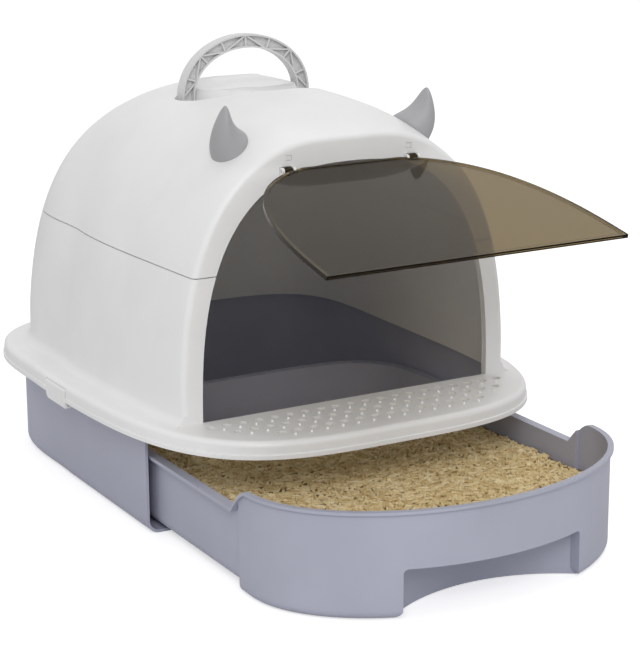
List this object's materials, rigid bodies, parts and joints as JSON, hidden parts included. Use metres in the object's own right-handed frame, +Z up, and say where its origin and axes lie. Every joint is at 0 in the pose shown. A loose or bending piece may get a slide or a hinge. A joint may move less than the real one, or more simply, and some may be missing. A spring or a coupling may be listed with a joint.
{
  "type": "covered litter box",
  "caption": "Hooded litter box with a pull-out litter drawer, a smoked swing flap, a folding handle and two ears.",
  "frame": {"origin": "centre of the tub's underside, on the floor", "axes": "+X to the right, +Y to the back, away from the doorway, +Z up"},
  "size_m": [0.3991, 0.7558, 0.4028],
  "materials": {
    "hood_white": "satin",
    "tub_grey": "satin",
    "handle_grey": "satin",
    "ear_grey": "matte",
    "smoked_clear": "polished",
    "hinge_dark": "matte",
    "pin_steel": "brushed",
    "litter_tan": "matte"
  },
  "bodies": {
    "tub": {"base_tub": "tub_grey", "lower_hood": "hood_white", "upper_hood": "hood_white", "ear_left": "ear_grey", "ear_right": "ear_grey", "ear_clip_left": "hinge_dark", "ear_clip_right": "hinge_dark", "flap_bracket_left": "hood_white", "flap_bracket_right": "hood_white", "flap_pin_left": "pin_steel", "flap_pin_right": "pin_steel", "handle_pin_left": "pin_steel", "handle_pin_right": "pin_steel", "latch_pin_left": "pin_steel", "latch_pin_right": "pin_steel"},
    "drawer": {"drawer_pan": "tub_grey", "litter_fill": "litter_tan"},
    "flap": {"flap_panel": "smoked_clear"},
    "handle": {"carry_handle": "handle_grey"},
    "latch_left": {"side_latch_left": "hood_white"},
    "latch_right": {"side_latch_right": "hood_white"},
    "scoop": {"scoop": "hood_white"}
  },
  "joints": [
    {"name": "drawer_slide", "type": "slide", "parent": "tub", "child": "drawer", "axis": [0, 1, 0], "range_m": [-0.04, 0.154]},
    {"name": "flap_hinge", "type": "hinge", "parent": "tub", "child": "flap", "pos_m": [0, -0.2246, 0.3135], "axis": [1, 0, 0], "range_deg": [-8, 78]},
    {"name": "handle_hinge", "type": "hinge", "parent": "tub", "child": "handle", "pos_m": [0, -0.033, 0.337], "axis": [1, 0, 0], "range_deg": [0, 90]},
    {"name": "latch_left_hinge", "type": "hinge", "parent": "tub", "child": "latch_left", "pos_m": [-0.1956, -0.041, 0.1013], "axis": [0, 1, 0], "range_deg": [0, 90]},
    {"name": "latch_right_hinge", "type": "hinge", "parent": "tub", "child": "latch_right", "pos_m": [0.1956, -0.041, 0.1013], "axis": [0, -1, 0], "range_deg": [0, 90]},
    {"name": "scoop_lift", "type": "slide", "parent": "tub", "child": "scoop", "axis": [0, 0, 1], "range_m": [0, 0.15]}
  ]
}
